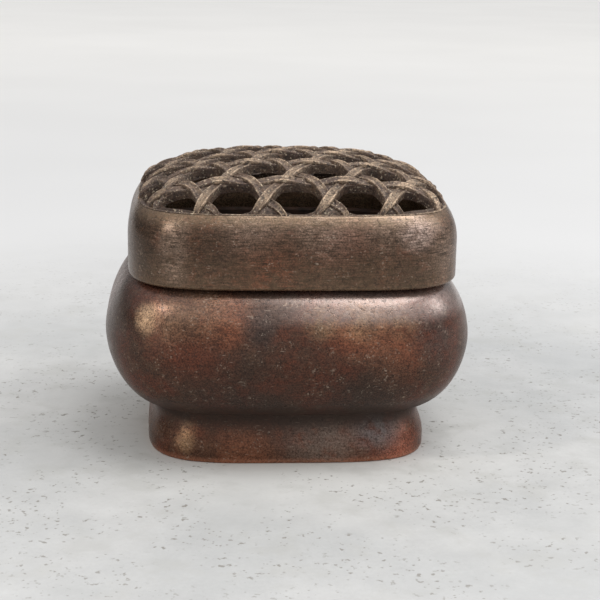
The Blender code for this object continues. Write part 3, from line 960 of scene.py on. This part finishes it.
def strand_centres(stretch):
    """(point, normal, lift) down a strand, run on to the dome's edge and then down into the lid's side."""
    start = rim_stop(stretch[0], stretch[1])
    end = rim_stop(stretch[-1], stretch[-2])
    centres = []
    for x, y, lift in [(*start, stretch[0][2])] + stretch + [(*end, stretch[-1][2])]:
        point, normal = dome_point(x, y)
        centres.append((point, normal, STRAND_LIFT * (lift - 1.0)))

    def sunk(point, normal, lift):
        return point + Vector((0.0, 0.0, -0.0006)), Vector((normal.x, normal.y, 0.0)).normalized(), lift

    return [sunk(*centres[0])] + centres + [sunk(*centres[-1])]


def sweep_stretch(name, stretch, half_width):
    """One stretch of strand with both its ends at the dome's edge."""
    centres = strand_centres(stretch)
    top = [(-share, -sunk) for share, sunk in STRAND_SECTION[:0:-1]]
    top += [(share, -sunk) for share, sunk in STRAND_SECTION]
    rings = []
    for place, (point, normal, lift) in enumerate(centres):
        before = centres[max(place - 1, 0)][0]
        after = centres[min(place + 1, len(centres) - 1)][0]
        side = normal.cross(after - before).normalized()
        depth = STRAND_DEPTH - 0.0008 * (1.0 - normal.z)
        from_rim = DOME_ALONG[-1] - float(np.interp(dome_level(point.x, point.y), DOME_OUT, DOME_ALONG))
        half = half_width * (RIM_TAPER + (1.0 - RIM_TAPER) * smooth_step(0.0003, CROSSING_RISE, from_rim))
        ring = [point + side * (share * half) + normal * (lift + high) for share, high in top]
        ring.append(point + side * (0.9 * half) - normal * depth)
        ring.append(point - side * (0.9 * half) - normal * depth)
        rings.append(ring)
    return as_object(name, skinned(rings))


def opening_outline(row, place):
    """The (u, s) outline of an opening, along the strands around it and then drawn in.

    The openings of the front row reach down to their sills.
    """
    middle = WEAVE_SHIFT + (place + 0.5 * (row % 2)) * PITCH
    half = 0.5 * PITCH
    low = row * ROW + CROSSING_RISE
    high = low + ROW
    lower = [LEVEL_SHARE * step / 4 for step in range(5)]
    upper = [LEVEL_SHARE + (1.0 - LEVEL_SHARE) * step / 8 for step in range(9)]
    outline = [(middle + half - half * bulge(share, LEFT_CURVE), low - share * ROW) for share in lower[::-1]]
    outline += [(middle + half * bulge(share, RIGHT_CURVE), high - share * ROW) for share in upper[::-1]]
    outline += [(middle - half * bulge(share, LEFT_CURVE), high - share * ROW) for share in upper]
    outline += [(middle - half + half * bulge(share, RIGHT_CURVE), low - share * ROW) for share in lower]
    for _ in range(3):
        neighbours = zip(outline[-1:] + outline, outline, outline[1:] + outline[:1])
        outline = [tuple(np.mean([before, here, here, after], axis=0)) for before, here, after in neighbours]
    middle_s = (row + 0.5) * ROW + LEVEL_RISE
    drawn_in = []
    for u, s in outline:
        s = middle_s + OPENING_SHARE * (s - middle_s)
        if row == 0:
            s -= FRONT_DROP * smooth_step(low, 0.0, s)
        drawn_in.append((middle + OPENING_SHARE * (u - middle), s))
    return drawn_in


def sides_of(outline):
    return zip(outline, outline[1:] + outline[:1])


def polygon_area(outline):
    return 0.5 * sum(ax * by - bx * ay for (ax, ay), (bx, by) in sides_of(outline))


def inside_polygon(x, y, outline):
    inside = False
    for (ax, ay), (bx, by) in sides_of(outline):
        if (ay > y) != (by > y) and x < ax + (y - ay) * (bx - ax) / (by - ay):
            inside = not inside
    return inside


def unrolled(x, y):
    """The place moved out from the middle to as far as it lies along the dome."""
    level = max(1e-6, dome_level(x, y))
    along = float(np.interp(level, DOME_OUT, DOME_ALONG)) + max(0.0, level - DOME_HALF)
    return x * along / level, y * along / level


def rolled(x, y):
    """The place on the dome's plan of an unrolled place."""
    along = max(1e-6, dome_level(x, y))
    level = float(np.interp(along, DOME_ALONG, DOME_OUT))
    return x * level / along, y * level / along


def sill_height(x, y):
    """How high the openings' sills stand over the lid's side: a little more round its corners."""
    squareness = min(abs(x), abs(y)) / max(abs(x), abs(y), 1e-6)
    return SILL_HEIGHT + (CORNER_SILL_HEIGHT - SILL_HEIGHT) * smooth_step(0.55, 0.85, squareness)


def web_openings():
    """The unrolled outlines of the openings in the web, kept clear of the lid's side."""
    openings = []
    for row in range(ROWS):
        for place in range(-3, 4):
            outline = []
            for u, s in opening_outline(row, place):
                x, y = unrolled(*plan(u, s))
                outside_by = max(1.0, dome_level(x, y) / (DOME_ALONG[-1] - sill_height(x, y)))
                outline.append((x / outside_by, y / outside_by))
            if polygon_area(outline) > SMALLEST_OPENING:
                openings.append(outline)
    return openings


def make_web():
    """The sunk sheet behind the strands, which closes the small triangles at their crossings."""
    edge = DOME_ALONG[-1]
    rim_points = section(DOME_HALF, LID_POWER, 0.0, around=WEAVE_AROUND)
    rim = [(point.x * edge / DOME_HALF, point.y * edge / DOME_HALF) for point in rim_points]
    openings = web_openings()
    corners = []
    edges = []
    for outline in [rim] + openings:
        first = len(corners)
        corners += [Vector(point) for point in outline]
        edges += [(first + i, first + (i + 1) % len(outline)) for i in range(len(outline))]
    for across in np.arange(-edge, edge, WEB_GRID):
        for back in np.arange(-edge, edge, WEB_GRID):
            if dome_level(across, back) < edge - 0.0003:
                corners.append(Vector((across, back)))
    places, _, triangles, _, _, _ = geometry.delaunay_2d_cdt(corners, edges, [], 1, 1e-7)
    made = bmesh.new()
    upper = []
    lower = []
    for place in places:
        point, normal = dome_point(*rolled(place.x, place.y))
        drop = Vector((0.0, 0.0, -0.0003)) if normal.z < 0.05 else Vector()
        near_edge = smooth_step(edge - 0.0028, edge - 0.0008, dome_level(place.x, place.y))
        sloped = Vector((0.0, 0.0, -0.0013 * near_edge))
        upper.append(made.verts.new(point - normal * WEB_SUNK + drop))
        lower.append(made.verts.new(point - normal * (WEB_DEPTH - 0.0008 * (1.0 - normal.z)) + drop + sloped))
    sides = {}
    for triangle in triangles:
        middle = sum((places[corner] for corner in triangle), Vector((0.0, 0.0))) / 3.0
        if any(inside_polygon(middle.x, middle.y, outline) for outline in openings):
            continue
        made.faces.new([upper[corner] for corner in triangle])
        made.faces.new([lower[corner] for corner in reversed(triangle)])
        for here, there in sides_of(triangle):
            if sides.pop((there, here), None) is None:
                sides[(here, there)] = True
    for here, there in sides:
        made.faces.new((upper[there], upper[here], lower[here], lower[there]))
    bmesh.ops.delete(made, geom=[vertex for vertex in made.verts if not vertex.link_faces], context="VERTS")
    return as_object("web", made)


def make_rim_bead():
    """The thin border round the weave, set a little behind the edge of the lid's side."""
    profile = ((-0.0013, -0.0006), (-0.0004, -0.0005), (-0.0004, 0.0), (-0.0002, 0.00015))
    profile += ((-0.0004, 0.0003), (-0.0009, 0.0003), (-0.0013, 0.0))
    rings = []
    for out, rise in profile:
        rings.append(section(DOME_HALF + out, LID_POWER, BAND_TOP_Z + rise, around=WEAVE_AROUND))
    return as_object("rim_bead", skinned(rings, closed=True))


def joined(name, first, others):
    """One casting from overlapping closed shapes."""
    for other in others:
        union = first.modifiers.new(other.name, "BOOLEAN")
        union.operation = "UNION"
        union.solver = "MANIFOLD"
        union.object = other
    evaluated = first.evaluated_get(bpy.context.evaluated_depsgraph_get())
    mesh = bpy.data.meshes.new_from_object(evaluated)
    mesh.name = name
    for thing in [first] + others:
        bpy.data.objects.remove(thing, do_unlink=True)
    return linked(name, mesh)


def left_strand_share(x, y):
    """1 on the strands that run down to the left, and 0 beside them."""
    u = copysign(float(np.interp(abs(x), DOME_OUT, DOME_ALONG)), x)
    back = DEEP_SHARE * float(np.interp(abs(y) / DEEP_SHARE, DOME_OUT, DOME_ALONG))
    s = DOME_LENGTH / 2.0 + copysign(back, y)
    rows_up = (s - CROSSING_RISE) / ROW
    share = ceil(rows_up) - rows_up
    strand_u = crossing(ceil(rows_up), 0, 1.0) - 0.5 * PITCH * bulge(share, LEFT_CURVE)
    across = abs((u - strand_u + 0.5 * PITCH) % PITCH - 0.5 * PITCH)
    return smooth_step(1.25 * STRAND_HALF, 0.8 * STRAND_HALF, across)


def make_weave(looks):
    strands = []
    for number in range(-7, 8):
        strands += swept(f"right_{number}", slanting_strand(number + 3, 1.0, RIGHT_CURVE), STRAND_HALF)
        strands += swept(f"left_{number}", slanting_strand(number - 3, -1.0, LEFT_CURVE), STRAND_HALF)
    for row in range(1, ROWS):
        strands += swept(f"level_{row}", level_strand(row), LEVEL_HALF)
    weave = joined("woven_top", make_web(), [make_rim_bead()] + strands)
    weave.data.transform(Matrix.Translation((LID_MIDDLE_X, 0.0, 0.0)))
    weave.data.shade_smooth()
    weave.data.set_sharp_from_angle(angle=radians(38))

    def height(co):
        """1 at the top of a strand and on the border, and 0 on the sunk sheet."""
        x = co.x - LID_MIDDLE_X
        level = min(1.0, dome_level(x, co.y) / DOME_HALF)
        point, normal = dome_point(x, co.y)
        if level > 0.995:
            return 1.0
        return 1.0 - max(0.0, (point - co).dot(normal)) / WEB_SUNK

    def leaning(co):
        """1 at the top of a strand that runs down to the left."""
        return left_strand_share(co.x - LID_MIDDLE_X, co.y) * smooth_step(0.1, 0.5, height(co))

    mark(weave, "height", height)
    mark(weave, "leaning", leaning)
    placed(weave, looks, "lid", "lid_lattice")


# ---- The liner and what it holds ----


def make_liner(looks):
    """A thin tapered pan whose rim turns out over the collar."""
    floor_half = 0.03
    half = 0.0344
    wall = 0.001
    low = LINER_LOW.z
    high = LINER_HIGH.z
    profile = [
        (floor_half - 0.004, low),
        (floor_half - 0.0014, low + 0.0008),
        (floor_half, low + 0.003),
        (half - 0.0003, high - 0.01),
        (half, high - wall),
        (LINER_HIGH.x - 0.0002, high - wall),
        (LINER_HIGH.x, high - 0.5 * wall),
        (LINER_HIGH.x - 0.0002, high),
        (half - 0.5 * wall, high),
        (half - wall, high - 0.0004),
        (half - wall - 0.0003, high - 0.01),
        (floor_half - wall, low + 0.0034),
        (floor_half - 0.0022, low + 0.0016),
        (floor_half - 0.004, low + wall),
    ]
    liner = skinned_profile("liner_pan", profile, FOOT_POWER, closed=False)
    mark(liner, "wear_and_sheen", lambda co: 0.25 + 0.6 * smooth_step(high - 0.0006, high - 0.0001, co.z))
    placed(liner, looks, "liner", "ash_liner")


def make_ash(looks):
    """Ash with a crumbly top that rises at the liner's wall and dips round the ember."""
    wall_half = ASH_HIGH.x
    berm = 0.0012
    top = ASH_HIGH.z - berm
    hollow = (EMBER_HIGH.x - EMBER_LOW.x) / 2.0 + GAP
    rings = [
        section(wall_half - 0.0065, FOOT_POWER, ASH_LOW.z),
        section(wall_half - 0.0039, FOOT_POWER, ASH_LOW.z + 0.0025),
        section(wall_half, FOOT_POWER, ASH_HIGH.z - 0.0004),
    ]
    for step in range(1, 40):
        share = step / 40
        half = wall_half - (wall_half - hollow - 0.0012) * share
        power = FOOT_POWER + (2.0 - FOOT_POWER) * share
        rise = berm * smooth_step(0.16, 0.0, share)
        roundness = smooth_step(0.6, 1.0, share)
        ring = section(half, power, 0.0)
        for point in ring:
            round_point = Vector((point.x, point.y, 0.0)).normalized() * (hollow + 0.0012)
            point.xy = point.xy.lerp(round_point.xy, roundness)
            rough = noise.fractal(point * 260.0, 0.9, 2.0, 4) * 0.00035 + noise.noise(point * 90.0) * 0.0003
            point.z = min(top + rise + rough - 0.0002, ASH_HIGH.z)
        rings.append(ring)
    rings.append(circle(hollow + 0.0004, top - 0.0012))
    rings.append(circle(hollow, EMBER_LOW.z - GAP))
    ash = as_object("ash", skinned(rings))
    placed(ash, looks, "liner", "ash_bed")


def make_ember(looks):
    """A pressed charcoal tablet, slightly crumbled, with a rounded edge and a shallow dish in its top."""
    radius = (EMBER_HIGH.x - EMBER_LOW.x) / 2.0
    low = EMBER_LOW.z
    high = EMBER_HIGH.z
    profile = [(0.4, low), (0.92, low), (0.985, low + 0.0003), (1.0, low + 0.0009), (1.0, high - 0.0013)]
    profile += [(0.985, high - 0.0006), (0.93, high - 0.0002), (0.86, high - 0.0001), (0.78, high - 0.0006)]
    profile += [(0.6, high - 0.0015), (0.4, high - 0.002), (0.2, high - 0.0022), (0.04, high - 0.0022)]
    rings = []
    for share, z in profile:
        ring = circle(radius * share, z, 96)
        for point in ring:
            crumble = 0.00018 * noise.fractal(point * 600.0, 0.8, 2.0, 3)
            point.xy *= 1.0 - abs(crumble) / radius
            if z > low + 0.001:
                point.z -= abs(crumble)
        rings.append(ring)
    ember = as_object("charcoal", skinned(rings))
    placed(ember, looks, "liner", "charcoal_tablet")


def make_chip(number, looks):
    """A split sliver of wood inside its CAD block: tapered, with ragged sides and splintered ends."""
    low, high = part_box(f"incense_chip_{number}")
    turn = Matrix.Rotation(radians(CHIP_TURNS[number - 1]), 4, "Z")
    laid = Matrix.Translation((low + high) / 2.0) @ turn
    long, wide, thick = (0.5 * length for length in CHIP_SIZE)
    rings = []
    for step in range(25):
        share = step / 12 - 1.0
        taper = 1.0 - 0.3 * share**2 - 0.1 * share
        ring = []
        for corner in range(20):
            angle = 2.0 * pi * corner / 20
            reach = (abs(cos(angle)) ** 4 + abs(sin(angle)) ** 4) ** -0.25
            across = cos(angle) * reach
            upward = sin(angle) * reach
            here = Vector((share * 2.0, across * 2.2, upward * 1.5 + 7.0 * number))
            ragged = 0.9 + 0.09 * noise.noise(here)
            split = 0.92 + 0.07 * noise.noise(Vector((across * 3.0, upward * 2.0, 5.0 * number)))
            place = Vector((long * share * split, wide * taper * across * ragged, thick * upward * ragged))
            ring.append(laid @ place)
        rings.append(ring)
    chip = as_object(f"wood_sliver_{number}", skinned(rings))
    placed(chip, looks, "liner", f"incense_chip_{number}")


make_camera()
make_lights()
make_floor()
bowl_tones = (DARK_BROWN, DARK_RED, BROWN)
lid_tones = (DARK_BROWN, LID_BROWN, DARK_RED)
inner_tones = (BLACK_BROWN, DARK_BROWN, BROWN)
liner_tones = (DARK_RED, HEATED_COPPER, BROWN)
red_bronze = bronze("red_bronze", bowl_tones, LILAC_WEAR_AND_SHEEN, 0.24, BOWL_PATCHES, NECK_PAINTED_SHADE)
foot_bronze = bronze("foot_bronze", bowl_tones, COPPER, 0.24, FOOT_PATCHES, FOOT_PAINTED_SHADE)
lid_bronze = bronze("lid_bronze", lid_tones, GOLD, 0.66, LID_PATCHES, SEAT_PAINTED_SHADE)
inner_bronze = bronze("inner_bronze", inner_tones, GOLD, 0.2, (), RIM_SOOT)
liner_copper = bronze("liner_copper", liner_tones, COPPER, 0.2, (), RIM_SOOT)
make_body_shell(red_bronze)
make_foot(foot_bronze)
make_collar(inner_bronze)
make_lid_band(lid_bronze)
make_weave(lattice_bronze())
make_liner(liner_copper)
make_ash(ash_looks())
make_ember(charcoal_looks())
splinter_wood = wood_looks()
for chip_number in (1, 2, 3):
    make_chip(chip_number, splinter_wood)
